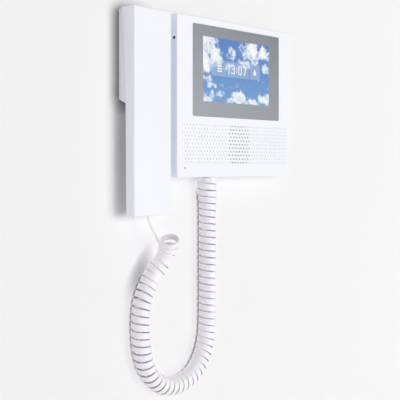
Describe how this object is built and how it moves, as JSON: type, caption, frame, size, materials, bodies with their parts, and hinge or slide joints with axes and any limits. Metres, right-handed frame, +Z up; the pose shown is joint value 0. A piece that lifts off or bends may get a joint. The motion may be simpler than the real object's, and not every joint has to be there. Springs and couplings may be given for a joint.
{
  "type": "video intercom monitor",
  "caption": "Wall-mounted video intercom: touch screen over a perforated grille, lift-off flat handset on a side cradle, curly cord looping back under the monitor.",
  "frame": {"origin": "centre of the wall bracket's four wall screws, on the wall's surface", "axes": "+X to the right along the wall, +Y into the wall (the room is at -Y), +Z up"},
  "size_m": [0.2439, 0.0329, 0.3722],
  "materials": {
    "housing_white": "satin",
    "back_white": "fine textured",
    "cover_glass": "grey back-printed border, gloss",
    "display": "lit picture of sky and clouds",
    "dark_plastic": "moulded",
    "circuit_board": "solder mask",
    "terminal_green": "moulded",
    "screw_steel": "zinc plated",
    "bracket_steel": "galvanised",
    "black_rubber": "matt",
    "black_cloth": "open weave",
    "magnet": "nickel plated",
    "ribbon_amber": "polyimide film",
    "lead_red": "wire insulation",
    "cord_white": "soft glossy sheath",
    "plug_clear": "moulded"
  },
  "bodies": {
    "base": {"wall_bracket": "bracket_steel", "rear_cover": "back_white", "front_cover": "housing_white", "screen_glass": "cover_glass", "lcd_panel": "display", "display_frame": "dark_plastic", "main_board": "circuit_board", "terminal_block": "terminal_green", "terminal_screws": "screw_steel", "speaker": "dark_plastic", "speaker_gasket": "black_rubber", "speaker_cloth": "black_cloth", "microphone": "magnet", "mic_boot": "black_rubber", "setup_switch": "dark_plastic", "cord_socket": "dark_plastic", "display_ribbon": "ribbon_amber", "speaker_lead": "lead_red", "case_screws": "screw_steel", "board_screws": "screw_steel", "bridge_screws": "screw_steel", "cradle_base": "back_white", "cradle_cover": "housing_white", "cradle_screws": "screw_steel", "cradle_magnet": "magnet", "hook_spring": "screw_steel", "hook_switch": "dark_plastic", "hook_lead": "lead_red", "cord_plug_monitor": "plug_clear", "cord_coil": "cord_white"},
    "handset": {"handset_outer": "housing_white", "handset_inner": "back_white", "ear_capsule": "dark_plastic", "ear_gasket": "black_rubber", "handset_mic": "magnet", "handset_mic_boot": "black_rubber", "handset_board": "circuit_board", "handset_socket": "dark_plastic", "handset_weight": "bracket_steel", "handset_magnet": "magnet", "handset_screws": "screw_steel", "ear_lead": "lead_red", "cord_plug_handset": "plug_clear", "cord_tail": "cord_white"},
    "hook_plunger": {"hook_plunger": "plug_clear"},
    "setup_button": {"setup_button": "plug_clear"}
  },
  "joints": [
    {"name": "handset_lift", "type": "slide", "parent": "base", "child": "handset", "axis": [0, -1, 0], "range_m": [0, 0.06]},
    {"name": "hook_press", "type": "slide", "parent": "base", "child": "hook_plunger", "axis": [0, -1, 0], "range_m": [0, 0.0018], "deforming": ["hook_spring"]},
    {"name": "setup_press", "type": "slide", "parent": "base", "child": "setup_button", "axis": [1, 0, 0], "range_m": [0, 0.0003], "stiffness_N_per_m": 400}
  ],
  "couplings": [
    {"joint": "hook_press", "follows": "handset_lift", "ratio": 0.03}
  ]
}
